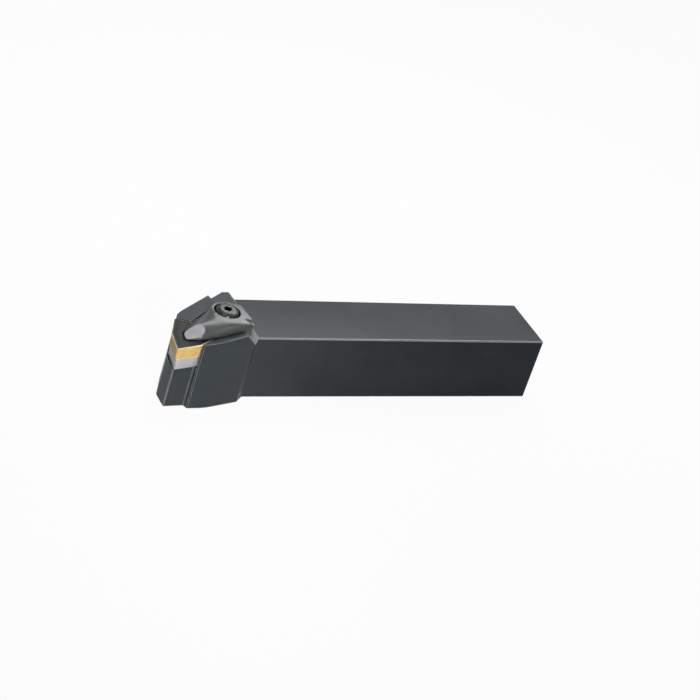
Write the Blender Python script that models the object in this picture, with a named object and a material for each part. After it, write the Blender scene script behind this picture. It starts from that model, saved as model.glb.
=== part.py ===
# A right-hand turning tool holder with a trigon insert, held by a lever clamp.
# Metres, +Z up. The base of the square shank lies on Z = 0, +X runs to the tail end,
# and the cutting side faces -Y.
import math

import bmesh
import bpy
from mathutils import Matrix, Vector

MM = 0.001

# Shank and head, seen from above
SHANK_SIDE = 25.0 * MM
TAIL_X = 60.0 * MM
SHOULDER_X = -57.05 * MM          # where the shank's front face turns out to the head
HALF = SHANK_SIDE / 2
EDGE_CHAMFER = 0.4 * MM
HEAD_OUTLINE = [                  # plan of the head's front (x, y, radius of the corner)
    (-89.0 * MM, -18.1 * MM, 0.0),        # foot, front corner under the cutting tip
    (-81.3 * MM, -17.6 * MM, 0.5 * MM),   # inner corner of the step beside the shim
    (-80.6 * MM, -19.35 * MM, 0.0),       # outer corner of that step
    (-74.2 * MM, -19.35 * MM, 26.0 * MM),  # where the front turns towards the shank
    (-60.25 * MM, -15.7 * MM, 0.0),       # start of the 45 degree chamfer to the shank
    (SHOULDER_X, -HALF, 0.0),
]
CORNER_STEPS = 5
BACK_OUTLINE = [                  # from the shank's back face, round to the foot
    (-62.5 * MM, HALF),
    (-68.0 * MM, 8.4 * MM),
    (-82.7 * MM, -0.2 * MM),
    (-84.6 * MM, -1.7 * MM),
    (-89.0 * MM, -11.0 * MM),
]
HEAD_TOP = 34.0 * MM
BACK_STEP_RISE = 2.75 * MM        # level top of the head behind the clamp, above the shank
BACK_STEP_Z = SHANK_SIDE + BACK_STEP_RISE
SHOULDER_TOP_X = -57.2 * MM       # foot of the slope from the head down to the shank

# Insert seat
TIP = Vector((-90.2 * MM, -19.6 * MM, SHANK_SIDE))
APPROACH = math.radians(5.0)      # cutting edge against the shank's axis
RISE_ALONG = math.radians(7.0)    # the insert rises along its cutting edge
RISE_ACROSS = math.radians(4.0)   # and towards the back
INSCRIBED_RADIUS = 6.35 * MM
INSERT_THICKNESS = 4.76 * MM
INSERT_CORNER = 0.8 * MM
INSERT_HOLE = 2.58 * MM
INSERT_BORE_EDGE = 0.35 * MM      # rounded mouth of the hole
EDGE_HONE = 0.12 * MM
SHIM_THICKNESS = 4.2 * MM
SHIM_INSET = 0.25 * MM
GAP = 0.3 * MM
LEDGE_RISE = 0.35 * MM            # the head's top stands this far above the insert
RELIEF_RADIUS = 1.0 * MM          # drilled relief in the seat's inner corner
CORNER_HALF = math.radians(50.0)  # half the turn at an 80 degree corner
FLAT_HALF = math.radians(10.0)    # half the turn at a 160 degree corner

# Cross groove with its 45 degree ramp for the clamp's heel
GROOVE = Vector((-58.7 * MM, -11.35 * MM, 23.25 * MM))
GROOVE_BACK = 14.0 * MM
BLOCK_END = (-70.4 * MM, 6.9 * MM)        # the tall block beside the clamp ends here, at its back
BLOCK_END_HEADING = math.radians(-74.0)   # and this way from there, towards the front
BLOCK_SLOPE_HEADING = math.radians(-60.0)
BLOCK_SLOPE_START = (-73.0 * MM, 5.7 * MM)
BLOCK_SLOPE = math.radians(14.0)

# Clamp
SCREW_AXIS = Vector((-68.5 * MM, -6.1 * MM, 0.0))
CLAMP_TURN = math.radians(204.0)  # heading from the screw to the insert's hole
CLAMP_RISE = 7.0 * MM             # crown above the shank
CLAMP_TOP = SHANK_SIDE + CLAMP_RISE
CROWN_RADIUS = 5.5 * MM
CLAMP_HOVER = 0.5 * MM            # underside above the insert's top plane
SKIRT = 0.4 * MM                  # height of the upright edge round the clamp
CLAMP_ROUNDING = 0.3 * MM
CLAMP_NOSE = [                    # edge of the underside (u, v), ridge above it (u, v, drop), roundness
    ((6.5 * MM, -5.1 * MM), (7.8 * MM, 0.0 * MM, 0.5 * MM), 0.4),
    ((10.2 * MM, -4.2 * MM), (10.6 * MM, 0.6 * MM, 0.85 * MM), 0.3),
    ((14.2 * MM, -3.1 * MM), (13.5 * MM, 1.0 * MM, 1.2 * MM), 0.2),
    ((17.5 * MM, -1.9 * MM), (16.2 * MM, 0.9 * MM, 1.5 * MM), 0.0),
    ((19.3 * MM, -0.3 * MM), (17.2 * MM, 0.8 * MM, 1.7 * MM), 0.5),
    ((19.5 * MM, 1.6 * MM), (17.2 * MM, 1.2 * MM, 1.7 * MM), 0.5),
    ((17.1 * MM, 3.7 * MM), (15.6 * MM, 1.7 * MM, 1.5 * MM), 0.6),
    ((16.2 * MM, 4.4 * MM), (13.6 * MM, 1.6 * MM, 1.25 * MM), 0.65),
    ((13.7 * MM, 5.6 * MM), (10.6 * MM, 1.8 * MM, 0.85 * MM), 0.75),
    ((11.2 * MM, 6.5 * MM), (7.8 * MM, 2.0 * MM, 0.5 * MM), 0.95),
]
FACET_FOOT = ((19.5 * MM, 0.1 * MM), (17.9 * MM, 3.0 * MM))  # the flat on the nose starts here
FACET_TOP = (13.55 * MM, 1.25 * MM, 1.1 * MM)              # and ends at this place of the ridge
NOSE_BACK = 5                     # how many of these lie on the back
FRONT_HIPS = ((8.7 * MM, 7.3 * MM), (-0.4 * MM, 9.3 * MM))
BACK_HIPS = ((-4.6 * MM, -5.9 * MM), (3.6 * MM, -5.6 * MM))
FRONT_ROUNDNESS = 1.12            # over 1: a steep wall under a tighter shoulder
BACK_ROUNDNESS = 0.85
FRONT_CROWN = (30.0, 98.0)        # headings of the round crown beside each side, degrees
BACK_CROWN = (212.0, 328.0)
CROWN_STEPS = 9
SHOULDER_STEPS = 6
REAR_EDGE = [                     # rear wall: side v, drop to its top, heading of the crown
    (9.3 * MM, 1.55 * MM, 111.0),
    (9.0 * MM, 0.8 * MM, 119.0),
    (8.0 * MM, 0.25 * MM, 129.0),
    (5.6 * MM, 0.1 * MM, 146.0),
    (-0.8 * MM, 0.1 * MM, 186.0),
]
REAR_FACE = -2.1 * MM             # clamp's rear wall, ahead of the groove's bottom
REAR_INNER = -5.0 * MM            # how far ahead the rear wall is solid
BODY_FRONT = 6.6 * MM             # the clamp's lower body, inside the slot
BODY_BACK = (-4.0 * MM, -5.4 * MM)  # at the front end, at the back end
BODY_AHEAD = 5.7 * MM
BODY_BOTTOM = SHANK_SIDE - GAP / 3
BODY_CORNER = -4.6 * MM
SLOT_GAP = 0.4 * MM
SLOT_END = -0.9 * MM
RECESS_AHEAD = (12.4 * MM, -5.0 * MM)     # the recess's wall runs between these, beside the clamp
RECESS_BEHIND = (-4.6 * MM, -7.9 * MM)
RECESS_RISE = 1.9 * MM
RECESS_FLOOR = SHANK_SIDE + RECESS_RISE
HEEL = (4.4 * MM, 12.4 * MM)      # extent of the heel along the groove
HEEL_BOTTOM = 24.1 * MM
HEEL_TIP = 1.35 * MM
HEEL_TOP = 26.8 * MM
PIN_RADIUS = 1.85 * MM            # nose pin in the insert's hole
PIN_DEPTH = 1.6 * MM
PAD_RADIUS = 2.05 * MM

# Clamp screw and spring
SCREW_RADIUS = 2.5 * MM
SCREW_LENGTH = 17.1 * MM          # below the head
HEAD_RADIUS = 4.25 * MM
SINK_DEPTH = 2.7 * MM
HEAD_SEAT = CLAMP_TOP - SINK_DEPTH + GAP
SCREW_END = HEAD_SEAT - SCREW_LENGTH
HEAD_SIDE = 1.4 * MM              # height of the head's straight side
HEAD_DOME = 1.85 * MM
HEAD_EDGE = HEAD_SEAT + HEAD_SIDE
HEAD_CROWN = HEAD_EDGE + HEAD_DOME
HEAD_FLAT = 2.3 * MM
SINK_RADIUS = 4.6 * MM
SINK_CHAMFER = 0.3 * MM
SOCKET_RADIUS = 1.65 * MM
SOCKET_DEPTH = 1.9 * MM
SPRING_RADIUS = 3.65 * MM
SPRING_WIRE = 0.4 * MM
SPRING_DROP = 5.4 * MM            # its foot, below the shank's top
SPRING_LOW = SHANK_SIDE - SPRING_DROP
SPRING_LENGTH = 6.6 * MM
SPRING_HIGH = SPRING_LOW + SPRING_LENGTH
SPRING_TURNS = 5.5
SPRING_POCKET = 4.4 * MM

# Shim screw
SHIM_SCREW_RADIUS = 1.75 * MM
SHIM_HEAD_RADIUS = 2.9 * MM
SHIM_HEAD_DROP = 0.45 * MM        # head below the shim's top
SHIM_CONE = 2.0 * MM
SHIM_SCREW_LENGTH = 9.0 * MM
SHIM_SOCKET = 1.15 * MM

STEPS = 64                        # facets round a large circle
SMOOTH_ANGLE = math.radians(28.0)
FAR = 60.0 * MM                   # cutters run out this far
REACH = FAR / 5


def clear_scene():
    for item in list(bpy.data.objects):
        bpy.data.objects.remove(item, do_unlink=True)


def material(name, colour, roughness, metallic):
    made = bpy.data.materials.new(name)
    made.use_nodes = True
    shader = made.node_tree.nodes["Principled BSDF"]
    shader.inputs["Base Color"].default_value = (*colour, 1.0)
    shader.inputs["Roughness"].default_value = roughness
    shader.inputs["Metallic"].default_value = metallic
    return made


def add_object(name, mesh_data, frame, smooth):
    made = bpy.data.objects.new(name, mesh_data)
    made.matrix_world = frame
    bpy.context.scene.collection.objects.link(made)
    if smooth:
        mesh_data.shade_smooth()
        mesh_data.set_sharp_from_angle(angle=SMOOTH_ANGLE)
    return made


def from_bmesh(name, shape, frame, smooth=True):
    bmesh.ops.recalc_face_normals(shape, faces=shape.faces)
    mesh_data = bpy.data.meshes.new(name)
    shape.to_mesh(mesh_data)
    shape.free()
    return add_object(name, mesh_data, frame, smooth)


def prism(name, outline, low, high, frame=Matrix()):
    """An upright prism over a flat outline."""
    shape = bmesh.new()
    face = shape.faces.new([shape.verts.new((x, y, low)) for x, y in outline])
    raised = bmesh.ops.extrude_face_region(shape, geom=[face])["geom"]
    corners = [item for item in raised if isinstance(item, bmesh.types.BMVert)]
    bmesh.ops.translate(shape, verts=corners, vec=(0.0, 0.0, high - low))
    return from_bmesh(name, shape, frame, smooth=False)


def turned(name, profile, frame=Matrix(), steps=STEPS):
    """A turned solid. Its profile of (radius, height) starts and ends on the axis."""
    shape = bmesh.new()
    points = [shape.verts.new((radius, 0.0, height)) for radius, height in profile]
    edges = [shape.edges.new(pair) for pair in zip(points, points[1:])]
    bmesh.ops.spin(shape, geom=points + edges, cent=(0, 0, 0), axis=(0, 0, 1),
                   angle=math.tau, steps=steps, use_merge=True)
    bmesh.ops.remove_doubles(shape, verts=shape.verts, dist=0.000001)
    return from_bmesh(name, shape, frame)


def cylinder(name, radius, low, high, frame=Matrix(), steps=STEPS):
    return turned(name, [(0.0, low), (radius, low), (radius, high), (0.0, high)], frame, steps)


def hull(name, points, frame=Matrix()):
    """The convex body round a set of points, with its flat faces whole."""
    shape = bmesh.new()
    for point in points:
        shape.verts.new(point)
    result = bmesh.ops.convex_hull(shape, input=shape.verts)
    spare = [item for item in result["geom_interior"] if isinstance(item, bmesh.types.BMVert)]
    bmesh.ops.delete(shape, geom=spare, context="VERTS")
    bmesh.ops.dissolve_limit(shape, angle_limit=math.radians(1.0), verts=shape.verts,
                             edges=shape.edges)
    return from_bmesh(name, shape, frame)


def boolean(target, tool, operation):
    tool.hide_render = True
    tool.display_type = "WIRE"
    step = target.modifiers.new(operation.lower() + " " + tool.name, "BOOLEAN")
    step.object = tool
    step.operation = operation
    step.solver = "EXACT"


def cut(target, *tools):
    for tool in tools:
        boolean(target, tool, "DIFFERENCE")


def join(target, *tools):
    for tool in tools:
        boolean(target, tool, "UNION")


def bevel(target, width, segments, angle):
    step = target.modifiers.new("rounded edges", "BEVEL")
    step.width = width
    step.segments = segments
    step.limit_method = "ANGLE"
    step.angle_limit = angle


def around(radius, heading):
    return (radius * math.cos(heading), radius * math.sin(heading))


def rounded_plan(corners):
    """The outline through the corners, with an arc of its radius at each inner corner."""
    outline = [corners[0][:2]]
    for before, corner, after in zip(corners, corners[1:], corners[2:]):
        place = Vector(corner[:2])
        if corner[2] == 0.0:
            outline.append(tuple(place))
            continue
        back = (Vector(before[:2]) - place).normalized()
        ahead = (Vector(after[:2]) - place).normalized()
        half = back.angle(ahead) / 2
        middle = (back + ahead).normalized()
        centre = place + middle * corner[2] / math.sin(half)
        start = (place + back * corner[2] / math.tan(half)) - centre
        end = (place + ahead * corner[2] / math.tan(half)) - centre
        for step in range(CORNER_STEPS + 1):
            share = step / CORNER_STEPS
            spoke = start.lerp(end, share).normalized() * corner[2]
            outline.append(tuple(centre + spoke))
    return outline + [corners[-1][:2]]


def star(radius, lobes=6, steps=48):
    """Outline of a six-lobed socket: the radius swells and shrinks once per lobe."""
    depth = 0.13 * radius
    turns = [math.tau * k / steps for k in range(steps)]
    return [around(radius - depth + depth * math.cos(lobes * turn), turn) for turn in turns]


def trigon(grow, corner, steps=6):
    """Insert outline round its centre: three 80 degree corners, rounded, and three of 160."""
    reach = INSCRIBED_RADIUS + grow
    outline = []
    for third in range(3):
        flat = math.radians(-80.0 + 120.0 * third)
        sharp = math.radians(-20.0 + 120.0 * third)
        outline.append(around(reach / math.cos(FLAT_HALF), flat))
        centre = Vector(around((reach - corner) / math.cos(CORNER_HALF), sharp))
        for step in range(steps + 1):
            heading = sharp - CORNER_HALF + 2 * CORNER_HALF * step / steps
            outline.append(tuple(centre + Vector(around(corner, heading))))
    return outline


def seat_frame():
    """Frame in the insert's top plane, at its hole, with X along the cutting edge."""
    flat_x = Vector((math.cos(APPROACH), math.sin(APPROACH), 0.0))
    flat_y = Vector((-math.sin(APPROACH), math.cos(APPROACH), 0.0))
    normal = (Vector((0, 0, 1)) - math.tan(RISE_ALONG) * flat_x
              - math.tan(RISE_ACROSS) * flat_y).normalized()
    along = Vector((flat_x.x, flat_x.y, math.tan(RISE_ALONG))).normalized()
    across = normal.cross(along)
    to_corner = INSCRIBED_RADIUS / math.cos(CORNER_HALF)
    x, y = around(to_corner, math.radians(40.0))
    centre = TIP + x * along + y * across
    turn = Matrix((along, across, normal)).transposed().to_4x4()
    return Matrix.Translation(centre) @ turn


SEAT = seat_frame()
GROOVE_FRAME = Matrix.Translation(GROOVE) @ Matrix.Rotation(APPROACH, 4, "Z")
CLAMP_FRAME = Matrix.Translation(SCREW_AXIS) @ Matrix.Rotation(CLAMP_TURN, 4, "Z")


def seat_height(u, v):
    """Height of the insert's top plane over a point of the clamp's frame."""
    place = CLAMP_FRAME @ Vector((u, v, 0.0))
    return head_top_height(place.x, place.y) - LEDGE_RISE / SEAT.col[2].z


def head_top_height(x, y):
    """Height of the head's top over a place in the plan."""
    normal = SEAT.col[2].to_3d()
    centre = SEAT.translation
    fall = (x - centre.x) * normal.x + (y - centre.y) * normal.y
    return centre.z + (LEDGE_RISE - fall) / normal.z


def ahead_of_groove(v, distance):
    """Along the clamp at side v, the place that is this far from the groove's bottom."""
    to_groove = GROOVE_FRAME.inverted() @ CLAMP_FRAME
    start = to_groove @ Vector((0.0, v, 0.0))
    run = to_groove.col[0].x
    return (distance - start.x) / run


def holder_body():
    plan = rounded_plan(HEAD_OUTLINE) + [(TAIL_X, -HALF), (TAIL_X, HALF)] + BACK_OUTLINE
    body = prism("holder_body", plan, 0.0, HEAD_TOP)
    bevel(body, EDGE_CHAMFER, 1, math.radians(40.0))
    cut(body, shank_top_cutter(), head_top_cutter(), back_step_cutter(), block_slope_cutter(),
        groove_cutter(), pocket_cutter(), pocket_relief(), recess_cutter(), slot_cutter(),
        spring_bore(), shim_bore())
    upright = Matrix.Rotation(math.radians(90.0), 4, "Z")
    front = Matrix.Translation((SHOULDER_X + EDGE_CHAMFER, -HALF, SHANK_SIDE))
    back = Matrix.Translation((SHOULDER_TOP_X, HALF, SHANK_SIDE))
    tail = Matrix.Translation((TAIL_X, -SHANK_SIDE, SHANK_SIDE)) @ upright
    cut(body, edge_cutter(front), edge_cutter(back), edge_cutter(tail))
    return body


def edge_cutter(frame):
    """Chamfers an edge that runs along the frame's X: a square bar, turned 45 degrees."""
    wide = EDGE_CHAMFER / math.sqrt(2.0)
    outline = [(-wide, -wide), (wide, -wide), (wide, wide), (-wide, wide)]
    turn = Matrix.Rotation(math.radians(90.0), 4, "Y") @ Matrix.Rotation(math.radians(45.0), 4, "Z")
    return prism("cut edge", outline, 0.0, 2 * FAR + TAIL_X, frame @ turn)


def shank_top_cutter():
    rise = HEAD_TOP - SHANK_SIDE + GAP
    side = [(SHOULDER_TOP_X, SHANK_SIDE), (TAIL_X + FAR, SHANK_SIDE),
            (TAIL_X + FAR, SHANK_SIDE + rise), (SHOULDER_TOP_X - rise, SHANK_SIDE + rise)]
    upright = Matrix.Rotation(math.radians(90.0), 4, "X")
    return prism("cut above the shank", side, -FAR, FAR, upright)


def head_top_cutter():
    square = [(-FAR, -FAR), (FAR, -FAR), (FAR, FAR), (-FAR, FAR)]
    return prism("cut above the head", square, LEDGE_RISE, FAR, SEAT)


def back_step_cutter():
    far = Vector(BLOCK_END) - REACH * Vector(around(1.0, BLOCK_END_HEADING))
    near = Vector(BLOCK_END) + REACH * Vector(around(1.0, BLOCK_END_HEADING))
    outline = [tuple(far), tuple(near), (FAR, near.y), (FAR, far.y)]
    return prism("cut behind the clamp", outline, BACK_STEP_Z, FAR)


def block_slope_cutter():
    """The tall block's top falls a little towards its end."""
    height = head_top_height(*BLOCK_SLOPE_START)
    frame = (Matrix.Translation((*BLOCK_SLOPE_START, height))
             @ Matrix.Rotation(BLOCK_SLOPE_HEADING, 4, "Z") @ Matrix.Rotation(BLOCK_SLOPE, 4, "X"))
    reach = REACH / 2
    outline = [(-reach, 0.0), (reach, 0.0), (reach, reach), (-reach, reach)]
    return prism("cut block slope", outline, 0.0, FAR, frame)


def groove_cutter():
    side = [(0.0, 0.0), (REACH, REACH), (-REACH, REACH)]
    upright = GROOVE_FRAME @ Matrix.Rotation(math.radians(90.0), 4, "X")
    return prism("cut groove", side, -GROOVE_BACK, FAR, upright)


def pocket_cutter():
    reach = INSCRIBED_RADIUS + GAP
    bend = Vector(around(reach / math.cos(FLAT_HALF), math.radians(-80.0)))
    near = Vector(around(reach / math.cos(CORNER_HALF), math.radians(-20.0)))
    middle = Vector(around(reach / math.cos(FLAT_HALF), math.radians(40.0)))
    far = middle + Vector(around(FAR, math.radians(140.0)))
    front = bend + Vector(around(FAR, math.radians(-115.0)))
    outline = [front, bend, near, middle, far, Vector((-FAR, 0.0)), Vector((-FAR, front.y))]
    floor = -(INSERT_THICKNESS + SHIM_THICKNESS + 2 * GAP)
    return prism("cut pocket", [tuple(point) for point in outline], floor, FAR, SEAT)


def pocket_relief():
    reach = (INSCRIBED_RADIUS + GAP) / math.cos(CORNER_HALF) - 0.3 * RELIEF_RADIUS
    x, y = around(reach, math.radians(-20.0))
    floor = -(INSERT_THICKNESS + SHIM_THICKNESS + 2 * GAP)
    return cylinder("cut corner relief", RELIEF_RADIUS, floor, FAR / 4,
                    SEAT @ Matrix.Translation((x, y, 0.0)), 24)


def slot_cutter():
    front = BODY_FRONT + SLOT_GAP
    middle = REAR_EDGE[-1][0] - SLOT_GAP / 2
    outline = [(BODY_AHEAD + SLOT_GAP, BODY_BACK[0] - SLOT_GAP), (BODY_AHEAD + SLOT_GAP, front),
               (ahead_of_groove(front, SLOT_END), front),
               (ahead_of_groove(middle, SLOT_END), middle),
               (BODY_CORNER - SLOT_GAP, BODY_BACK[1] - SLOT_GAP)]
    return prism("cut slot", outline, BODY_BOTTOM - SLOT_GAP, FAR, CLAMP_FRAME)


def recess_cutter():
    """The step between the clamp's back and the block beside it."""
    outline = [RECESS_AHEAD, RECESS_BEHIND, (RECESS_BEHIND[0], 0.0), (RECESS_AHEAD[0], 0.0)]
    return prism("cut recess", outline, RECESS_FLOOR, FAR, CLAMP_FRAME)


def spring_bore():
    low = SPRING_LOW - GAP
    drill = SCREW_RADIUS + GAP
    profile = [(0.0, SCREW_END - GAP - drill), (drill, SCREW_END - GAP), (drill, low),
               (SPRING_POCKET, low), (SPRING_POCKET, FAR), (0.0, FAR)]
    return turned("cut spring bore", profile, CLAMP_FRAME)


def shim_bore():
    top = -(INSERT_THICKNESS + GAP)
    low = top - SHIM_HEAD_DROP - SHIM_SCREW_LENGTH - GAP
    drill = SHIM_SCREW_RADIUS + GAP
    return turned("cut shim bore", [(0.0, low - drill), (drill, low), (drill, 0.0), (0.0, 0.0)],
                  SEAT, 32)


def insert():
    body = prism("insert", trigon(0.0, INSERT_CORNER), -INSERT_THICKNESS, 0.0, SEAT)
    bevel(body, EDGE_HONE, 1, math.radians(60.0))
    mouth = INSERT_HOLE + INSERT_BORE_EDGE
    low = -INSERT_THICKNESS
    profile = [(0.0, low - GAP), (mouth + GAP, low - GAP), (INSERT_HOLE, low + INSERT_BORE_EDGE),
               (INSERT_HOLE, -INSERT_BORE_EDGE), (mouth + GAP, GAP), (0.0, GAP)]
    cut(body, turned("cut insert hole", profile, SEAT, 48))
    return body


def shim():
    top = -(INSERT_THICKNESS + GAP)
    low = top - SHIM_THICKNESS
    body = prism("shim", trigon(-SHIM_INSET, INSERT_CORNER), low, top, SEAT)
    bevel(body, EDGE_HONE, 1, math.radians(60.0))
    hole = SHIM_SCREW_RADIUS + GAP
    cone = SHIM_HEAD_RADIUS + GAP
    seat = top - SHIM_HEAD_DROP
    profile = [(0.0, low - GAP), (hole, low - GAP), (hole, seat - SHIM_CONE - GAP / 2), (cone, seat),
               (cone, top + GAP), (0.0, top + GAP)]
    cut(body, turned("cut shim hole", profile, SEAT, 48))
    return body


def shim_screw():
    top = -(INSERT_THICKNESS + GAP) - SHIM_HEAD_DROP
    end = top - SHIM_SCREW_LENGTH
    profile = [(0.0, end), (SHIM_SCREW_RADIUS - GAP, end), (SHIM_SCREW_RADIUS, end + GAP),
               (SHIM_SCREW_RADIUS, top - SHIM_CONE), (SHIM_HEAD_RADIUS, top - GAP),
               (SHIM_HEAD_RADIUS, top), (0.0, top)]
    body = turned("shim_screw", profile, SEAT, 48)
    cut(body, prism("cut shim socket", star(SHIM_SOCKET), top - SHIM_SOCKET, 0.0, SEAT))
    return body


def on_crown(heading):
    return Vector((*around(CROWN_RADIUS, math.radians(heading)), CLAMP_TOP))


def shoulder(edge, top, roundness):
    """From the skirt up to the top: between a straight slope and a quarter of an ellipse."""
    points = []
    for step in range(SHOULDER_STEPS + 1):
        share = step / SHOULDER_STEPS
        turn = math.radians(90.0) * share
        across = share + roundness * (1.0 - math.cos(turn) - share)
        rise = share + roundness * (math.sin(turn) - share)
        place = edge.lerp(top, across)
        place.z = edge.z + rise * (top.z - edge.z)
        points.append(place)
    return points


def clamp_ribs():
    """Lines up the clamp's side, one after the other round it, from the underside to the crown."""
    ribs = []
    for low, (u, v, drop), roundness in CLAMP_NOSE:
        ribs.append((Vector((*low, 0.0)), shoulder, Vector((u, v, CLAMP_TOP - drop)), roundness))
    sides = ((FRONT_HIPS, FRONT_CROWN, FRONT_ROUNDNESS), (BACK_HIPS, BACK_CROWN, BACK_ROUNDNESS))
    for hips, headings, roundness in sides:
        for step in range(CROWN_STEPS):
            share = step / (CROWN_STEPS - 1)
            low = Vector((*hips[0], 0.0)).lerp(Vector((*hips[1], 0.0)), share)
            heading = headings[0] + share * (headings[1] - headings[0])
            ribs.append((low, shoulder, on_crown(heading), roundness))
        if hips is FRONT_HIPS:
            for v, drop, heading in REAR_EDGE:
                low = Vector((ahead_of_groove(v, REAR_FACE), v, 0.0))
                ribs.append((low, rear_wall, on_crown(heading), CLAMP_TOP - drop))
    return ribs


def rear_wall(edge, top, height):
    """Up the rear wall, round its upper edge, and on to the crown."""
    corner = Vector((edge.x, edge.y, height))
    points = [edge, corner - Vector((0.0, 0.0, CLAMP_ROUNDING))]
    inner = corner + CLAMP_ROUNDING * (top - corner).normalized()
    points.append((points[1] + 2 * corner + inner) / 4)
    steps = SHOULDER_STEPS - 3
    points += [inner.lerp(top, step / steps) for step in range(steps + 1)]
    return points


def clamp_upper():
    """The crowned top: a round crown at the screw falls as a ridge to the nose."""
    shape = bmesh.new()
    rings = []
    for low, line, top, setting in clamp_ribs():
        skirt = on_skirt(low.x, low.y)
        foot = skirt - Vector((0.0, 0.0, SKIRT))
        rings.append([shape.verts.new(point) for point in [foot] + line(skirt, top, setting)])
    for ring, following in zip(rings, rings[1:] + rings[:1]):
        for low, high in zip(range(len(ring)), range(1, len(ring))):
            shape.faces.new((ring[low], following[low], following[high], ring[high]))
    tops = [ring[-1] for ring in rings]
    nose = len(CLAMP_NOSE)
    back = tops[:NOSE_BACK]
    front = tops[NOSE_BACK:nose]
    shape.faces.new([tops[-1]] + back + front + [tops[nose]])
    fan(shape, tops[nose:], CLAMP_TOP)
    fan(shape, [ring[0] for ring in rings], seat_height(0.0, 0.0) + CLAMP_HOVER)
    bmesh.ops.triangulate(shape, faces=shape.faces)
    grind_facet(shape)
    bmesh.ops.triangulate(shape, faces=shape.faces)
    return from_bmesh("clamp", shape, CLAMP_FRAME)


def on_skirt(u, v):
    """The upper edge of the skirt over a point of the clamp's frame."""
    return Vector((u, v, seat_height(u, v) + CLAMP_HOVER + SKIRT))


def grind_facet(shape):
    """The flat across the nose: through two places of the skirt and one of the ridge."""
    first, second = (on_skirt(*place) for place in FACET_FOOT)
    u, v, drop = FACET_TOP
    top = Vector((u, v, CLAMP_TOP - drop))
    outward = (second - first).cross(top - first)
    everything = shape.verts[:] + shape.edges[:] + shape.faces[:]
    sliced = bmesh.ops.bisect_plane(shape, geom=everything, plane_co=first, plane_no=outward,
                                    clear_outer=True)["geom_cut"]
    rim = [item for item in sliced if isinstance(item, bmesh.types.BMEdge)]
    bmesh.ops.contextual_create(shape, geom=rim)


def fan(shape, corners, height):
    """Closes a loop of corners round a point on the screw's axis."""
    middle = shape.verts.new((0.0, 0.0, height))
    for first, second in zip(corners, corners[1:] + corners[:1]):
        shape.faces.new((first, second, middle))


def clamp_rear():
    """The rear wall, which follows the groove's left flank with a gap."""
    to_groove = GROOVE_FRAME.inverted() @ CLAMP_FRAME
    inset = GAP / 3
    front = REAR_EDGE[0][0] - inset
    back = REAR_EDGE[-1][0] + inset
    places = [(ahead_of_groove(v, REAR_FACE - inset), v) for v in (front, back)]
    places += [(FRONT_HIPS[1][0], front), (ahead_of_groove(back, REAR_INNER), back)]
    points = []
    for u, v in places:
        ahead = (to_groove @ Vector((u, v, 0.0))).x
        points += [(u, v, GROOVE.z + GAP * math.sqrt(2.0) - ahead),
                   (u, v, seat_height(u, v) + CLAMP_HOVER + SKIRT / 2)]
    return hull("clamp rear", points, CLAMP_FRAME)


def clamp_lower():
    """The lower body, which drops into the head's slot."""
    back = REAR_EDGE[-1][0]
    outline = [(BODY_AHEAD, BODY_BACK[0]), (BODY_AHEAD, BODY_FRONT),
               (ahead_of_groove(BODY_FRONT, REAR_FACE - GAP), BODY_FRONT),
               (ahead_of_groove(back, REAR_FACE - GAP), back), (BODY_CORNER, BODY_BACK[1])]
    points = [(u, v, BODY_BOTTOM) for u, v in outline]
    points += [(u, v, seat_height(u, v) + CLAMP_HOVER + SKIRT / 2) for u, v in outline]
    return hull("clamp lower", points, CLAMP_FRAME)


def clamp_heel():
    """The tongue that bears on the 45 degree ramp."""
    lift = GAP * math.sqrt(2.0)
    low = HEEL_BOTTOM - GROOVE.z
    high = HEEL_TOP - GROOVE.z
    side = [(lift - low, low), (low - lift, low), (HEEL_TIP, HEEL_TIP + lift), (HEEL_TIP, high),
            (lift - high, high)]
    upright = GROOVE_FRAME @ Matrix.Rotation(math.radians(90.0), 4, "X")
    return prism("clamp heel", side, -HEEL[1], -HEEL[0], upright)


def clamp():
    body = clamp_upper()
    join(body, clamp_lower(), clamp_rear(), clamp_heel())
    pad_top = CLAMP_HOVER + SKIRT / 2
    pin = [(0.0, -PIN_DEPTH), (PIN_RADIUS - GAP, -PIN_DEPTH), (PIN_RADIUS, GAP - PIN_DEPTH),
           (PIN_RADIUS, GAP), (PAD_RADIUS, GAP), (PAD_RADIUS, pad_top), (0.0, pad_top)]
    join(body, turned("clamp pin", pin, SEAT, 40))
    floor = HEAD_SEAT - GAP
    hole = SCREW_RADIUS + GAP
    top = CLAMP_TOP + SINK_CHAMFER
    sink = [(0.0, FAR / 6), (hole, FAR / 6), (hole, floor), (SINK_RADIUS, floor),
            (SINK_RADIUS, CLAMP_TOP - SINK_CHAMFER), (SINK_RADIUS + 2 * SINK_CHAMFER, top),
            (SINK_RADIUS + 2 * SINK_CHAMFER, FAR), (0.0, FAR)]
    cut(body, turned("cut screw sink", sink, CLAMP_FRAME))
    cut(body, cylinder("cut spring seat", SPRING_POCKET, FAR / 6, SPRING_HIGH + GAP, CLAMP_FRAME))
    return body


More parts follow.
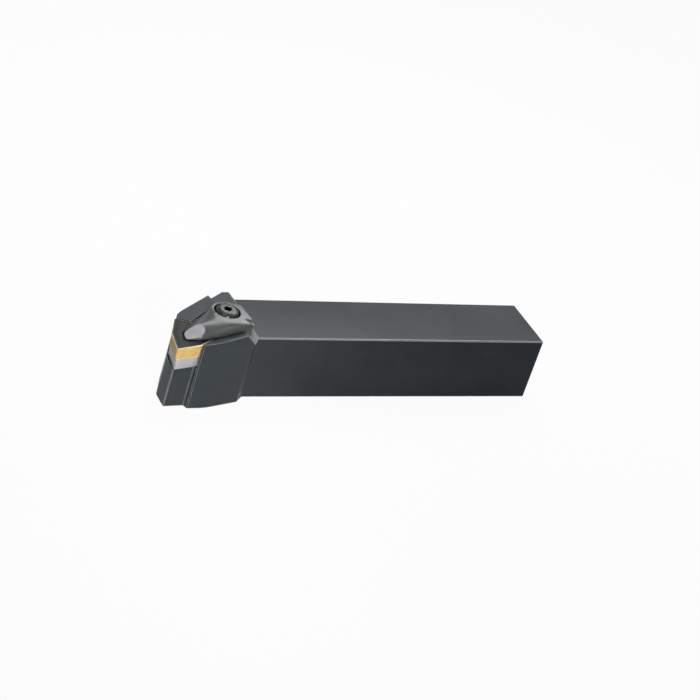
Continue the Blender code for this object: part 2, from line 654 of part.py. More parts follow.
def clamp_screw():
    end = SCREW_END
    chamfer = 0.45 * MM
    profile = [(0.0, end), (SCREW_RADIUS - chamfer, end), (SCREW_RADIUS, end + chamfer),
               (SCREW_RADIUS, HEAD_SEAT), (HEAD_RADIUS, HEAD_SEAT), (HEAD_RADIUS, HEAD_EDGE)]
    fall = HEAD_CROWN - HEAD_EDGE
    for step in range(1, 9):
        turn = math.radians(90.0) * step / 8
        radius = HEAD_FLAT + (HEAD_RADIUS - HEAD_FLAT) * math.cos(turn)
        profile.append((radius, HEAD_EDGE + fall * math.sin(turn)))
    profile.append((0.0, HEAD_CROWN))
    body = turned("clamp_screw", profile, CLAMP_FRAME)
    cut(body, prism("cut screw socket", star(SOCKET_RADIUS), HEAD_CROWN - SOCKET_DEPTH, FAR,
                    CLAMP_FRAME))
    return body


def clamp_spring():
    """A compression spring. The pitch closes up over the first and the last turn."""
    sides = 8
    per_turn = 20
    count = int(SPRING_TURNS * per_turn)
    closed = per_turn
    low = SPRING_LOW + SPRING_WIRE
    rise = SPRING_HIGH - SPRING_LOW - 2 * SPRING_WIRE
    wire = 2.15 * SPRING_WIRE
    heights = [low]
    for step in range(count):
        flat = step < closed or step >= count - closed
        open_rise = (rise - 2 * wire) / (count - 2 * closed)
        heights.append(heights[-1] + (wire / closed if flat else open_rise))
    shape = bmesh.new()
    rings = []
    for step, height in enumerate(heights):
        turn = math.tau * step / per_turn
        out = Vector((math.cos(turn), math.sin(turn), 0.0))
        ring = []
        for side in range(sides):
            lean = math.tau * side / sides
            place = (SPRING_RADIUS + SPRING_WIRE * math.cos(lean)) * out
            ring.append(shape.verts.new((place.x, place.y,
                                         height + SPRING_WIRE * math.sin(lean))))
        rings.append(ring)
    for ring, following in zip(rings, rings[1:]):
        for side in range(sides):
            after = (side + 1) % sides
            shape.faces.new((ring[side], ring[after], following[after], following[side]))
    shape.faces.new(rings[0])
    shape.faces.new(rings[-1])
    return from_bmesh("clamp_spring", shape, CLAMP_FRAME)


def build():
    clear_scene()
    steel = material("black oxide steel", (0.045, 0.05, 0.052), 0.42, 0.85)
    clamp_steel = material("satin clamp steel", (0.085, 0.085, 0.083), 0.36, 0.9)
    carbide = material("coated carbide", (0.5, 0.35, 0.13), 0.38, 0.7)
    bare = material("ground carbide", (0.36, 0.35, 0.36), 0.42, 0.8)
    screw_steel = material("screw steel", (0.15, 0.17, 0.17), 0.35, 0.9)
    spring_steel = material("spring steel", (0.4, 0.4, 0.4), 0.3, 1.0)
    pieces = [(holder_body(), steel), (clamp(), clamp_steel), (insert(), carbide), (shim(), bare),
              (shim_screw(), screw_steel), (clamp_screw(), screw_steel),
              (clamp_spring(), spring_steel)]
    for piece, finish in pieces:
        piece.data.materials.append(finish)


build()
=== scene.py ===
# The finish of a right-hand turning tool holder: blackened steel body, satin clamp, coated
# insert on a ground shim. Metres, +Z up, the shank's base on Z = 0, the tail towards +X.
import math

import bmesh
import bpy
import numpy as np
from mathutils import Matrix, Vector


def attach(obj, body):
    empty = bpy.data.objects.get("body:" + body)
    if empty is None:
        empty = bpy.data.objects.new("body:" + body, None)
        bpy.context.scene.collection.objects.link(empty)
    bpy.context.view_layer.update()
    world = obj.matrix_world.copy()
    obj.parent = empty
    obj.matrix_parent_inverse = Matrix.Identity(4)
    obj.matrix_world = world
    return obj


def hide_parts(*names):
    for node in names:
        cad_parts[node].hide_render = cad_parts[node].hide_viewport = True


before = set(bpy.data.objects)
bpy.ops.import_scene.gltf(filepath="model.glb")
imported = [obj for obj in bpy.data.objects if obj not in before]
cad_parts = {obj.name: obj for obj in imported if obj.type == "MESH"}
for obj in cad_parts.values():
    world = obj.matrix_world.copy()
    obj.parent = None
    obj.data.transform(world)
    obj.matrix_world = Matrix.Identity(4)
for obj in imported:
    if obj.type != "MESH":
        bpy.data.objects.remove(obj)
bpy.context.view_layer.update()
mm = 0.001
print("frame loaded:", sorted(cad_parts))


class Port:
    # one socket of a node tree; its operators add Math nodes behind it
    def __init__(self, paint, socket):
        self.paint = paint
        self.socket = socket

    def maths(self, operation, first, second):
        return self.paint.node("ShaderNodeMath", {"operation": operation}, {0: first, 1: second})

    def __add__(self, other):
        return self.maths("ADD", self, other)

    def __radd__(self, other):
        return self.maths("ADD", other, self)

    def __sub__(self, other):
        return self.maths("SUBTRACT", self, other)

    def __mul__(self, other):
        return self.maths("MULTIPLY", self, other)

    def __rmul__(self, other):
        return self.maths("MULTIPLY", other, self)

    def atLeast(self, other):
        return self.maths("MAXIMUM", self, other)


# the places of a Mix node's colour sockets
mixColours = {"first": 6, "second": 7, "result": 2}
noiseRoughness = 0.55


class Paint:
    # the node tree of a material or a world, and one method that adds any node to it
    def __init__(self, owner, outputKind="ShaderNodeOutputMaterial"):
        owner.use_nodes = True
        self.owner = owner
        self.tree = owner.node_tree
        self.tree.nodes.clear()
        self.output = self.tree.nodes.new(outputKind)

    def node(self, kind, settings=None, inputs=None, output=0):
        made = self.tree.nodes.new(kind)
        for key, value in (settings or {}).items():
            if key == "stops":
                self.setStops(made.color_ramp, value)
            else:
                setattr(made, key, value)
        for key, value in (inputs or {}).items():
            self.feed(made.inputs[key], value)
        return Port(self, made.outputs[output])

    def feed(self, socket, value):
        if isinstance(value, Port):
            self.tree.links.new(value.socket, socket)
        else:
            socket.default_value = value

    def setStops(self, ramp, stops):
        for element, (place, shade) in zip(ramp.elements, stops):
            element.position = place
            element.color = (shade, shade, shade, 1.0)

    def place(self):
        return self.node("ShaderNodeTexCoord", {}, {}, "Object")

    def noise(self, scale, detail, stretch=(1.0, 1.0, 1.0), turn=0.0):
        where = self.node("ShaderNodeMapping", {}, {"Vector": self.place(), "Scale": stretch,
                                                   "Rotation": (0.0, 0.0, turn)})
        return self.node("ShaderNodeTexNoise", {}, {"Vector": where, "Scale": scale,
                                                   "Detail": detail,
                                                   "Roughness": noiseRoughness})

    def stepped(self, value, low, high):
        # 0 below low, 1 above high, and a ramp between them
        return self.node("ShaderNodeValToRGB", {"stops": [(low, 0.0), (high, 1.0)]}, {0: value})

    def blend(self, amount, first, second):
        return self.node("ShaderNodeMix", {"data_type": "RGBA"},
                         {"Factor": amount, mixColours["first"]: (*first, 1.0),
                          mixColours["second"]: (*second, 1.0)}, mixColours["result"])

    def bump(self, height, distance, strength):
        return self.node("ShaderNodeBump", {}, {"Height": height, "Distance": distance,
                                                "Strength": strength})

    def shown(self, shader):
        self.tree.links.new(shader.socket, self.output.inputs["Surface"])
        return self.owner


# dark and light: the two shades that the clouds run between; gloss: the shader's specular
# level; cloud, grain and marks: how fine each pattern is; turn: where the marks run; depth:
# how deep the relief is, in mm
blackSteel = {"dark": (0.0235, 0.0270, 0.0300), "light": (0.0365, 0.0418, 0.0455), "metal": 0.0,
              "tint": (0.84, 1.0, 1.08), "gloss": 0.10, "rough": 0.32, "grain": 2600.0,
              "cloud": 45.0, "marks": 700.0, "turn": 0.0, "depth": 0.010}
# the body's broken edges: bright bare steel, part real wear and part a painted highlight along
# the edges
wornEdgeAndPaintedHighlight = {"dark": (0.34, 0.35, 0.36), "light": (0.48, 0.49, 0.50), "metal": 0.9,
            "gloss": 0.5, "rough": 0.34, "grain": 3800.0, "cloud": 300.0, "marks": 900.0,
            "turn": 0.0, "depth": 0.006}
# narrow chamfers: a lighter metal finish that is a painted highlight
chamferPaintedHighlight = {"dark": (0.10, 0.103, 0.106), "light": (0.15, 0.154, 0.158), "metal": 0.8,
                "gloss": 0.5, "rough": 0.36, "grain": 3800.0, "cloud": 220.0, "marks": 900.0,
                "turn": 0.0, "depth": 0.006}
# the clamp's ramp: a ground finish made lighter than bare ground steel, painted light where the
# clamp shades it
groundRampWithPaintedLight = {"dark": (0.58, 0.58, 0.58), "light": (0.70, 0.70, 0.695), "metal": 0.85,
              "gloss": 0.5, "rough": 0.38, "grain": 3000.0, "cloud": 260.0, "marks": 2200.0,
              "turn": 0.9, "depth": 0.010}
clampSteel = {"dark": (0.060, 0.063, 0.063), "light": (0.084, 0.088, 0.088), "metal": 0.8,
              "gloss": 0.25, "rough": 0.31, "grain": 3400.0, "cloud": 170.0, "marks": 1400.0,
              "turn": 0.42, "depth": 0.008}
# the clamp's nose facet: a lighter ground finish, partly real and partly a painted highlight
groundFlatWithPaintedHighlight = {"dark": (0.138, 0.135, 0.143), "light": (0.190, 0.186, 0.196), "metal": 0.9,
              "gloss": 0.5, "rough": 0.34, "grain": 3400.0, "cloud": 300.0, "marks": 2600.0,
              "turn": 1.1, "depth": 0.006}
screwSteel = {"dark": (0.028, 0.031, 0.031), "light": (0.042, 0.046, 0.046), "metal": 0.8,
              "gloss": 0.3, "rough": 0.28, "grain": 3000.0, "cloud": 240.0, "marks": 2200.0,
              "turn": 0.0, "depth": 0.006}
# the screws' sockets: near black and without reflection, a painted shade for the deep hole
socketPaintedShade = {"dark": (0.003, 0.003, 0.003), "light": (0.006, 0.006, 0.006), "metal": 0.0,
               "gloss": 0.0, "rough": 0.6, "grain": 3000.0, "cloud": 300.0, "marks": 2200.0,
               "turn": 0.0, "depth": 0.006}
shimCarbide = {"dark": (0.34, 0.337, 0.34), "light": (0.42, 0.416, 0.42), "metal": 0.2,
               "gloss": 0.3, "rough": 0.40, "grain": 3800.0, "cloud": 260.0, "marks": 2600.0,
               "turn": 0.0, "depth": 0.008}
springWire = {"dark": (0.26, 0.26, 0.26), "light": (0.40, 0.40, 0.40), "metal": 1.0,
              "gloss": 0.5, "rough": 0.26, "grain": 3000.0, "cloud": 400.0, "marks": 3000.0,
              "turn": 0.0, "depth": 0.004}
rakeCoat = {"dark": (0.017, 0.020, 0.021), "light": (0.025, 0.028, 0.029), "metal": 0.0,
            "gloss": 0.10, "rough": 0.42, "grain": 4600.0, "cloud": 220.0, "marks": 3000.0,
            "turn": 0.0, "depth": 0.006}
goldCoat = {"dark": (0.455, 0.305, 0.105), "light": (0.545, 0.39, 0.16), "metal": 0.1,
            "gloss": 0.06, "rough": 0.45, "grain": 4600.0, "cloud": 300.0, "marks": 3600.0,
            "turn": 0.0, "depth": 0.006}
# the insert's honed edge: a bright gold that is a painted highlight
insertEdgePaintedHighlight = {"dark": (0.84, 0.70, 0.30), "light": (0.94, 0.80, 0.42), "metal": 0.2,
            "gloss": 0.5, "rough": 0.32, "grain": 4600.0, "cloud": 300.0, "marks": 3600.0,
            "turn": 0.0, "depth": 0.004}

# what each pattern adds to the shade, to the roughness and to the relief of a finish
inShade = {"cloud": 0.60, "grain": 0.25, "marks": 0.15}
inRough = {"cloud": 0.14, "grain": 0.10, "marks": 0.06}
inRelief = {"grain": 0.4, "marks": 0.6}
layers = {"cloud": 5.0, "grain": 3.0, "marks": 2.0}
marksStretch = (0.05, 1.0, 1.0)
# where the mixed patterns turn from dark to light, and the mean that they lie round
shadeFrom, shadeTo, middle = 0.36, 0.64, 0.5
reliefStrength = 0.8


def finish(name, look):
    # soft clouds, a fine grain, and the faint parallel marks of the tool that made the face
    paint = Paint(bpy.data.materials.new(name))
    cloud = paint.noise(look["cloud"], layers["cloud"])
    grain = paint.noise(look["grain"], layers["grain"])
    marks = paint.noise(look["marks"], layers["marks"], marksStretch, look["turn"])
    mixed = inShade["cloud"] * cloud + inShade["grain"] * grain + inShade["marks"] * marks
    rough = (look["rough"] + inRough["cloud"] * (cloud - middle)
             + inRough["grain"] * (grain - middle) + inRough["marks"] * (marks - middle))
    height = inRelief["marks"] * marks + inRelief["grain"] * grain
    shade = paint.stepped(mixed, shadeFrom, shadeTo)
    surface = {"Base Color": paint.blend(shade, look["dark"], look["light"]),
               "Roughness": rough, "Metallic": look["metal"],
               "Specular IOR Level": look["gloss"],
               "Normal": paint.bump(height, look["depth"] * mm, reliefStrength)}
    if "tint" in look:
        surface["Specular Tint"] = (*look["tint"], 1.0)
    return paint.shown(paint.node("ShaderNodeBsdfPrincipled", {}, surface))


looks = {"blackSteel": blackSteel, "wornEdgeAndPaintedHighlight": wornEdgeAndPaintedHighlight, "chamferPaintedHighlight": chamferPaintedHighlight,
         "groundRampWithPaintedLight": groundRampWithPaintedLight, "clampSteel": clampSteel, "groundFlatWithPaintedHighlight": groundFlatWithPaintedHighlight,
         "screwSteel": screwSteel, "socketPaintedShade": socketPaintedShade, "shimCarbide": shimCarbide,
         "springWire": springWire, "rakeCoat": rakeCoat, "goldCoat": goldCoat,
         "insertEdgePaintedHighlight": insertEdgePaintedHighlight}
made = {name: finish(name, look) for name, look in looks.items()}
print("finishes made:", len(made))


# the insert's seat: its top plane rises along the cutting edge and towards the back. Angles
# in degrees; sharpFirst and flatFirst: where the outline's first corner of each kind points
seatRule = {"tip": (-90.2, -19.6, 25.0), "approach": 5.0, "riseAlong": 7.0, "riseAcross": 4.0,
            "inscribed": 6.35, "sharpHalf": 50.0, "flatHalf": 10.0, "sharpFirst": -20.0,
            "flatFirst": -80.0, "third": 120.0}


def seatPlace():
    # the frame in the insert's top plane, at its hole, with X along the cutting edge
    turn = math.radians(seatRule["approach"])
    flatX = Vector((math.cos(turn), math.sin(turn), 0.0))
    flatY = Vector((-math.sin(turn), math.cos(turn), 0.0))
    along = math.tan(math.radians(seatRule["riseAlong"]))
    across = math.tan(math.radians(seatRule["riseAcross"]))
    normal = (Vector((0.0, 0.0, 1.0)) - along * flatX - across * flatY).normalized()
    edge = Vector((flatX.x, flatX.y, along)).normalized()
    back = normal.cross(edge)
    reach = seatRule["inscribed"] * mm / math.cos(math.radians(seatRule["sharpHalf"]))
    heading = math.radians(90.0 - seatRule["sharpHalf"])
    centre = Vector(seatRule["tip"]) * mm
    centre += reach * (math.cos(heading) * edge + math.sin(heading) * back)
    return Matrix.Translation(centre) @ Matrix((edge, back, normal)).transposed().to_4x4()


seat = seatPlace()
# the clamp screw's axis, and how far its socket is turned, in degrees
screwRule = {"axis": (-68.5, -6.1, 0.0), "turn": 204.0}
screwSeat = (Matrix.Translation([value * mm for value in screwRule["axis"]])
             @ Matrix.Rotation(math.radians(screwRule["turn"]), 4, "Z"))

# a new piece's points closer than weld, in mm, become one, and its edges over crease, in
# degrees, stay sharp
weld, crease = 0.0005, 32.0
# the middle point of a rounded edge lies this share of the edge's width inside its corner
edgeMiddle = 0.3


def built(name, grid, place, parts, closedRows):
    # a grid of points, in rows that close on themselves, becomes one closed surface. With
    # closedRows the last row joins the first, as round a ring; otherwise the first and the
    # last row each shrink to a pole. parts lists (finish, first row that has it).
    rows, columns = grid.shape[:2]
    points = grid.reshape(-1, 3) * mm
    row = np.arange(rows if closedRows else rows - 1)
    column = np.arange(columns)
    beside = (column + 1) % columns
    near = row[:, None] * columns
    far = ((row + 1) % rows)[:, None] * columns
    faces = np.stack([near + column, near + beside, far + beside, far + column], axis=-1)
    mesh = bpy.data.meshes.new(name)
    mesh.from_pydata(points.tolist(), [], faces.reshape(-1, 4).tolist())
    slots = np.zeros(rows, dtype=np.int32)
    for slot, (finishName, start) in enumerate(parts):
        mesh.materials.append(made[finishName])
        slots[start:] = slot
    mesh.polygons.foreach_set("material_index", np.repeat(slots[row], columns))
    shape = bmesh.new()
    shape.from_mesh(mesh)
    bmesh.ops.remove_doubles(shape, verts=shape.verts, dist=weld * mm)
    bmesh.ops.recalc_face_normals(shape, faces=shape.faces)
    shape.transform(place)
    shape.to_mesh(mesh)
    shape.free()
    mesh.shade_smooth()
    mesh.set_sharp_from_angle(angle=math.radians(crease))
    piece = bpy.data.objects.new(name, mesh)
    bpy.context.scene.collection.objects.link(piece)
    return piece


def trigonRow(grow, corner, perCorner=11, perRun=9):
    # outline round the centre: at each third a 160 degree corner, and an arc round an 80
    # degree one: the arc's middle plus its radius times the heading's cosine and sine, and
    # straight runs from corner to arc: start plus a share of the way to the end
    half = math.radians(seatRule["sharpHalf"])
    reach = seatRule["inscribed"] + grow
    flat = np.radians(seatRule["flatFirst"] + seatRule["third"] * np.arange(4))[:, None]
    sharp = np.radians(seatRule["sharpFirst"] + seatRule["third"] * np.arange(3))[:, None]
    bend = reach / math.cos(math.radians(seatRule["flatHalf"]))
    centre = (reach - corner) / math.cos(half)
    bends = bend * np.stack([np.cos(flat), np.sin(flat)], axis=-1)
    heading = sharp + np.linspace(-half, half, perCorner)[None, :]
    arcs = centre * np.stack([np.cos(sharp), np.sin(sharp)], axis=-1)
    arcs = arcs + corner * np.stack([np.cos(heading), np.sin(heading)], axis=-1)
    share = np.linspace(0.0, 1.0, perRun, endpoint=False)[None, :, None]
    there = bends[:3] + share * (arcs[:, :1] - bends[:3])
    back = arcs[:, -1:] + share[:, 1:] * (bends[1:] - arcs[:, -1:])
    return np.concatenate([there, arcs, back], axis=1).reshape(-1, 2)


# an outline that is moved in keeps at least this share of its corner's radius
leastCorner = 0.25


def ringed(profile, corner, trim=0.0):
    # carries a profile round the outline: each row is the outline moved in by its inset, or
    # a circle of its radius through the same headings, at the row's height
    outline = trigonRow(0.0, corner)
    heading = np.arctan2(outline[:, 1], outline[:, 0])
    rows = []
    for kind, size, height in profile:
        if kind == "hole":
            plan = size * np.stack([np.cos(heading), np.sin(heading)], axis=-1)
        else:
            plan = trigonRow(-size - trim, max(corner - size, leastCorner * corner))
        rows.append(np.column_stack([plan, np.full(len(plan), height)]))
    return np.array(rows)


# mouth: (out from the hole, down); groove: (in from the outline, down), from its back to the
# land; lip and band: how far the painted highlight on the edge reaches over the rake face and
# down the flank
insertLook = {"thick": 4.76, "corner": 0.8, "hole": 2.58, "hone": 0.08, "trim": 0.012,
              "lip": 0.16, "band": 0.192,
              "mouth": [(0.0, 0.35), (0.11, 0.14), (0.175, 0.042), (0.35, 0.0)],
              "groove": [(1.9, 0.0), (1.52, 0.0275), (1.14, 0.088), (0.798, 0.11),
                         (0.494, 0.066), (0.27, 0.0088), (0.22, 0.0)]}


def makeInsert():
    # rake face with a shallow chip groove behind the land, flank, and a hole with round mouths
    look = insertLook
    thick, hole, hone = look["thick"], look["hole"], look["hone"]
    rake = [("hole", hole + out, -down) for out, down in look["mouth"]]
    rake += [("inset", inward, -down) for inward, down in look["groove"]]
    rake += [("inset", look["lip"], 0.0)]
    rim = [("inset", hone, 0.0), ("inset", edgeMiddle * hone, -edgeMiddle * hone),
           ("inset", 0.0, -hone)]
    top = rake + rim + [("inset", 0.0, -look["band"])]
    low = [(kind, size, -thick - height) for kind, size, height in reversed(top)]
    grid = ringed(top + low, look["corner"], look["trim"])
    start = len(rake) - 1
    flank = len(top) - 1
    under = 2 * len(top) - start - 2
    # the honed edge's rows, from the lip to the band, take the painted highlight
    parts = [("rakeCoat", 0), ("insertEdgePaintedHighlight", start), ("goldCoat", flank),
             ("insertEdgePaintedHighlight", flank + 1), ("rakeCoat", under)]
    piece = built("indexableInsert", grid, seat, parts, True)
    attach(piece, "holder")
    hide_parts("insert")


# gap: under the insert; cone and coneDepth: the seat of the screw's head, which starts
# headDrop under the top; rim: the flat ring inside the top's edge
shimLook = {"thick": 4.2, "gap": 0.3, "inset": 0.25, "corner": 0.8, "hole": 2.05, "cone": 3.2,
            "headDrop": 0.45, "coneDepth": 2.15, "edge": 0.12, "rim": 1.2}


def makeShim():
    # ground plate under the insert, its hole coned for the head of the shim screw
    look = shimLook
    top = -insertLook["thick"] - look["gap"]
    low = top - look["thick"]
    edge, inset = look["edge"], look["inset"]
    coneTop = top - look["headDrop"]
    half = edgeMiddle * edge
    profile = [("hole", look["hole"], low), ("hole", look["hole"], coneTop - look["coneDepth"]),
               ("hole", look["cone"], coneTop), ("hole", look["cone"], top - edge),
               ("hole", look["cone"] + edge, top), ("inset", inset + look["rim"], top),
               ("inset", inset + edge, top), ("inset", inset + half, top - half),
               ("inset", inset, top - edge), ("inset", inset, low + edge),
               ("inset", inset + half, low + half), ("inset", inset + edge, low)]
    piece = built("groundShim", ringed(profile, look["corner"]), seat, [("shimCarbide", 0)], True)
    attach(piece, "holder")
    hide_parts("shim")


# what both screws share. lobeDepth: of the socket's lobes, as a share of its radius; dimple,
# floorIn, floorUp and mouth: the socket's dip, the slope round its floor and its broken edge,
# in mm; ridge: the thread's depth as a share of its pitch; perPitch: rows to each pitch
screwForm = {"around": 96, "lobes": 6.0, "lobeDepth": 0.13, "dimple": 0.35, "floorIn": 0.25,
             "floorUp": 0.2, "mouth": 0.1, "ridge": 0.61, "perPitch": 10.0}


def screwGrid(look):
    # a turned profile with a lobed socket, whose radius swells and shrinks once for each lobe,
    # and a thread: the radius falls with the distance from a ridge that climbs once per pitch
    form = screwForm
    turn = np.linspace(0.0, math.tau, form["around"] + 1)[:-1]
    wave = form["lobeDepth"] * look["socket"] * (1.0 - np.cos(form["lobes"] * turn))
    wall = look["socket"] - wave
    floor = look["crown"] - look["socketDepth"]
    heights = np.arange(look["threadTop"], look["end"] + look["tip"],
                        -look["pitch"] / form["perPitch"])
    phase = (heights[:, None] / look["pitch"] - turn[None, :] / math.tau) % 1.0
    fade = np.clip((look["threadTop"] - heights) / look["pitch"], 0.0, 1.0)[:, None]
    thread = look["radius"] - fade * form["ridge"] * look["pitch"] * np.abs(2.0 * phase - 1.0)
    rows = [(0.0 * turn, floor - form["dimple"]), (wall - form["floorIn"], floor),
            (wall, floor + form["floorUp"]), (wall, look["crown"] - form["mouth"]),
            (wall + form["mouth"], look["crown"])]
    count = len(rows)
    rows += [(radius + 0.0 * turn, height) for radius, height in look["head"]]
    rows += list(zip(thread, heights))
    rows += [(thread[-1] - look["tip"], look["end"]), (0.0 * turn, look["end"])]
    grid = np.array([np.stack([radius * np.cos(turn), radius * np.sin(turn),
                               np.full(turn.shape, height)], axis=-1) for radius, height in rows])
    return grid, count


def quarter(inner, outer, low, high, steps):
    # rounded shoulder, from the flat down to the side: a quarter of an ellipse
    turn = np.radians(90.0) * np.linspace(1.0, 0.0, steps)
    return list(zip(inner + (outer - inner) * np.cos(turn), low + (high - low) * np.sin(turn)))


# head: (radius, height) from the crown down to the thread, in mm
clampScrewLook = {"name": "clampScrew", "node": "clamp_screw", "body": "clamp_screw",
                  "place": screwSeat, "socket": 1.65, "socketDepth": 1.9, "crown": 32.85,
                  "radius": 2.5, "pitch": 0.8, "threadTop": 28.3, "end": 12.5, "tip": 0.35,
                  "head": quarter(2.3, 4.25, 31.0, 32.85, 12)
                  + [(4.25, 30.9), (4.25, 29.72), (4.13, 29.6), (2.5, 29.6), (2.5, 28.4)]}
shimHead = -insertLook["thick"] - shimLook["gap"] - shimLook["headDrop"]
shimScrewLook = {"name": "shimScrew", "node": "shim_screw", "body": "holder", "place": seat,
                 "socket": 1.15, "socketDepth": 1.15, "crown": shimHead, "radius": 1.75,
                 "pitch": 0.6, "threadTop": shimHead - 2.7, "end": shimHead - 9.0, "tip": 0.3,
                 "head": [(2.78, shimHead), (2.9, shimHead - 0.12), (2.9, shimHead - 0.3),
                          (1.75, shimHead - 2.0), (1.75, shimHead - 2.6)]}


def makeScrew(look):
    grid, count = screwGrid(look)
    # the socket's rows take the painted shade
    parts = [("socketPaintedShade", 0), ("screwSteel", count - 1)]
    piece = built(look["name"], grid, look["place"], parts, False)
    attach(piece, look["body"])
    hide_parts(look["node"])


makeInsert()
makeShim()
makeScrew(clampScrewLook)
makeScrew(shimScrewLook)
print("insert, shim and screws built")

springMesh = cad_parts["clamp_spring"].data
springMesh.materials.clear()
springMesh.materials.append(made["springWire"])

# width, segments and angle: of the broken edges, in mm and degrees; chamfer: a face narrower
# than this has the chamfers' lighter finish, a painted highlight; faces: those that differ, by
# (finish, normal, a point)
bodyLook = {"name": "holderBody", "node": "holder_body", "body": "holder", "slot": "body_steel",
            # edge: the finish of the broken edges, part wear and part painted highlight
            "main": "blackSteel", "edge": "wornEdgeAndPaintedHighlight", "width": 0.15, "segments": 3,
            "angle": 25.0, "chamfer": 0.6,
            # the ramp face: ground finish with painted light against the clamp's shade
            "faces": [("groundRampWithPaintedLight", (-0.7044, -0.0616, 0.7071), (-57.5, -11.0, 24.4))]}
armLook = {"name": "clampArm", "node": "clamp", "body": "clamp", "slot": "clamp_steel",
           "main": "clampSteel", "edge": "clampSteel", "width": 0.10, "segments": 3,
           "angle": 34.0, "chamfer": 0.0,
           # the nose facet: lighter finish, partly a painted highlight
           "faces": [("groundFlatWithPaintedHighlight", (-0.4155, -0.4945, 0.7635), (-82.63, -14.05, 28.83))]}
# the slots of the copies' finishes; a listed face comes after them
edgeSlot, chamferHighlightSlot, faceSlot = 1, 2, 3
# copyWeld and offPlane in mm, flatWithin in degrees, sameWay the cosine between two normals
copyWeld, flatWithin, sameWay, offPlane = 0.001, 0.4, 0.999, 0.1


def dressed(look):
    # a merged copy of a CAD node whose edges are broken and given a bright finish where look says
    # so: part wear, part painted highlight
    shape = bmesh.new()
    shape.from_mesh(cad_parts[look["node"]].data)
    bmesh.ops.remove_doubles(shape, verts=shape.verts, dist=copyWeld * mm)
    bmesh.ops.dissolve_limit(shape, angle_limit=math.radians(flatWithin), verts=shape.verts,
                             edges=shape.edges)
    for face in shape.faces:
        # a face's width: twice its area over its length round
        width = 2.0 * face.calc_area() / face.calc_perimeter()
        # narrow chamfer faces take the painted highlight finish
        face.material_index = chamferHighlightSlot if width < look["chamfer"] * mm else 0
    mesh = bpy.data.meshes.new(look["name"])
    for finishName in (look["main"], look["edge"], "chamferPaintedHighlight"):
        mesh.materials.append(made[finishName])
    for number, (finishName, normal, point) in enumerate(look["faces"]):
        mesh.materials.append(made[finishName])
        facing = Vector(normal).normalized()
        for face in shape.faces:
            off = abs((face.calc_center_median() - Vector(point) * mm).dot(facing))
            if face.normal.dot(facing) > sameWay and off < offPlane * mm:
                face.material_index = faceSlot + number
    shape.edges.index_update()
    borders = [edge.index for edge in shape.edges
               if len({face.material_index for face in edge.link_faces}) > 1]
    shape.to_mesh(mesh)
    shape.free()
    mesh.shade_smooth()
    mesh.set_sharp_from_angle(angle=math.radians(look["angle"]))
    for number in borders:
        mesh.edges[number].use_edge_sharp = True
    piece = bpy.data.objects.new(look["name"], mesh)
    bpy.context.scene.collection.objects.link(piece)
    step = piece.modifiers.new("brokenEdges", "BEVEL")
    step.width = look["width"] * mm
    step.segments = look["segments"]
    step.limit_method = "ANGLE"
    step.angle_limit = math.radians(look["angle"])
    step.harden_normals = True
    step.material = edgeSlot
    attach(piece, look["body"])
    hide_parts(look["node"])


dressed(bodyLook)
dressed(armLook)
print("edges broken on the body and the clamp")


# floor: its own grey, in plain light; ownWhite and world: how white the floor shows and how
# much light the world gives
studio = {"floorSize": 6.0, "floor": (0.60, 0.60, 0.60), "ownWhite": 0.95, "world": 0.20}
# toward: from the aim to the lamp; spread: how wide its light fans out, in degrees
lamps = [{"aim": (-0.095, -0.015, 0.012), "toward": (-0.12, -0.85, 0.35), "far": 0.75,
          "size": 0.10, "radiance": 1.2, "spread": 13.0},
         {"aim": (-0.085, -0.015, 0.012), "toward": (-0.10, -0.85, 0.42), "far": 0.75,
          "size": 0.12, "radiance": 0.5, "spread": 18.0},
         {"aim": (-0.005, 0.0, 0.025), "toward": (0.332, 0.517, 0.788), "far": 0.30,
          "size": 0.24, "radiance": 4.5, "spread": 180.0},
         {"aim": (-0.02, 0.0, 0.02), "toward": (0.70, 0.25, 0.66), "far": 1.0, "size": 0.50,
          "radiance": 2.0, "spread": 180.0},
         {"aim": (-0.07, 0.0, 0.02), "toward": (-0.31, -0.20, 0.93), "far": 1.0, "size": 0.40,
          "radiance": 3.2, "spread": 180.0},
         {"aim": (-0.05, 0.0, 0.02), "toward": (0.47, -0.50, 0.73), "far": 1.1, "size": 0.28,
          "radiance": 3.0, "spread": 180.0}]


def seenBy(paint):
    # 1 for the camera, a mirror and glass, 0 for plain light
    path = [paint.node("ShaderNodeLightPath", {}, {}, f"Is {kind} Ray")
            for kind in ("Camera", "Glossy", "Transmission")]
    return path[0].atLeast(path[1]).atLeast(path[2])


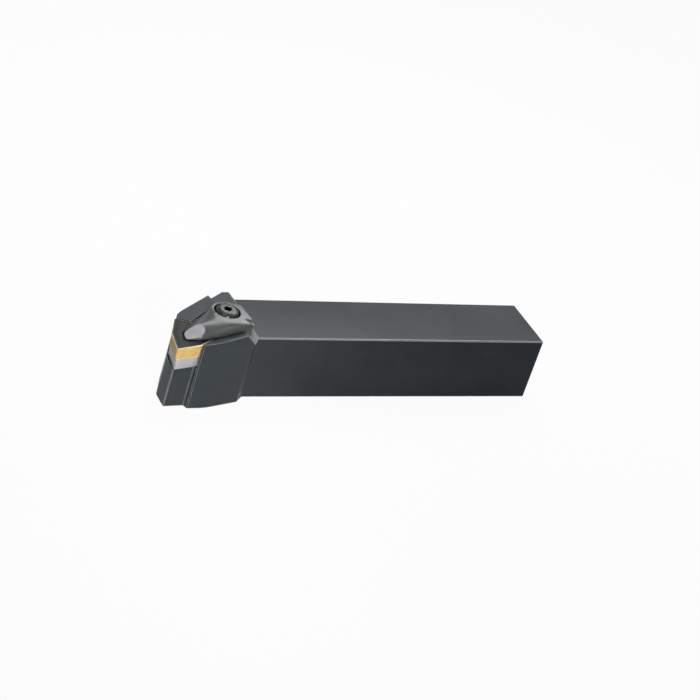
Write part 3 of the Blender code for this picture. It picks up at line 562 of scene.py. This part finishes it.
def makeFloor():
    paint = Paint(bpy.data.materials.new("studioFloor"))
    plain = paint.node("ShaderNodeBsdfDiffuse", {}, {"Color": (*studio["floor"], 1.0)})
    white = paint.node("ShaderNodeEmission", {}, {"Color": (1.0, 1.0, 1.0, 1.0)})
    share = seenBy(paint) * studio["ownWhite"]
    paint.shown(paint.node("ShaderNodeMixShader", {}, {0: share, 1: plain, 2: white}))
    half = studio["floorSize"] / 2
    mesh = bpy.data.meshes.new("floor")
    mesh.from_pydata([(-half, -half, 0.0), (half, -half, 0.0), (half, half, 0.0),
                      (-half, half, 0.0)], [], [(0, 1, 2, 3)])
    mesh.materials.append(paint.owner)
    floor = bpy.data.objects.new("floor", mesh)
    bpy.context.scene.collection.objects.link(floor)


def makeWorld():
    # importance sampling is off, because it would ignore which rays see the world as white
    paint = Paint(bpy.data.worlds.new("studio"), "ShaderNodeOutputWorld")
    strength = studio["world"] + seenBy(paint) * (1.0 - studio["world"])
    world = paint.shown(paint.node("ShaderNodeBackground", {}, {"Strength": strength}))
    world.cycles.sampling_method = "NONE"
    bpy.context.scene.world = world


def makeLamps():
    # a lamp's power is its radiance times pi times its area
    for number, look in enumerate(lamps):
        light = bpy.data.lights.new(f"softLamp{number}", "AREA")
        light.size = look["size"]
        light.energy = look["radiance"] * math.pi * look["size"] ** 2
        light.spread = math.radians(look["spread"])
        lamp = bpy.data.objects.new(f"softLamp{number}", light)
        facing = -Vector(look["toward"]).normalized()
        lamp.location = Vector(look["aim"]) - look["far"] * facing
        lamp.rotation_euler = facing.to_track_quat("-Z", "Y").to_euler()
        bpy.context.scene.collection.objects.link(lamp)


# the camera was fitted to the photo by the corners of the shank and the head
photoView = {"place": (-0.37986, -0.57405, 0.40101), "right": (0.8834, -0.3823, 0.2710),
             "down": (0.0088, -0.5647, -0.8252), "forward": (0.4686, 0.7314, -0.4955),
             "sensor": 36.0, "focalPixels": 2165.52, "imagePixels": 700, "nearest": 0.01}


def makeCamera():
    lens = bpy.data.cameras.new("photoCamera")
    lens.sensor_width = photoView["sensor"]
    lens.lens = photoView["focalPixels"] * photoView["sensor"] / photoView["imagePixels"]
    lens.clip_start = photoView["nearest"]
    camera = bpy.data.objects.new("photoCamera", lens)
    right, down, forward = (Vector(photoView[key]) for key in ("right", "down", "forward"))
    turn = Matrix((right, -down, -forward)).transposed().to_4x4()
    camera.matrix_world = Matrix.Translation(photoView["place"]) @ turn
    bpy.context.scene.collection.objects.link(camera)
    bpy.context.scene.camera = camera


makeFloor()
makeWorld()
makeLamps()
makeCamera()
bpy.context.scene.view_settings.view_transform = "Standard"
print("stage set")
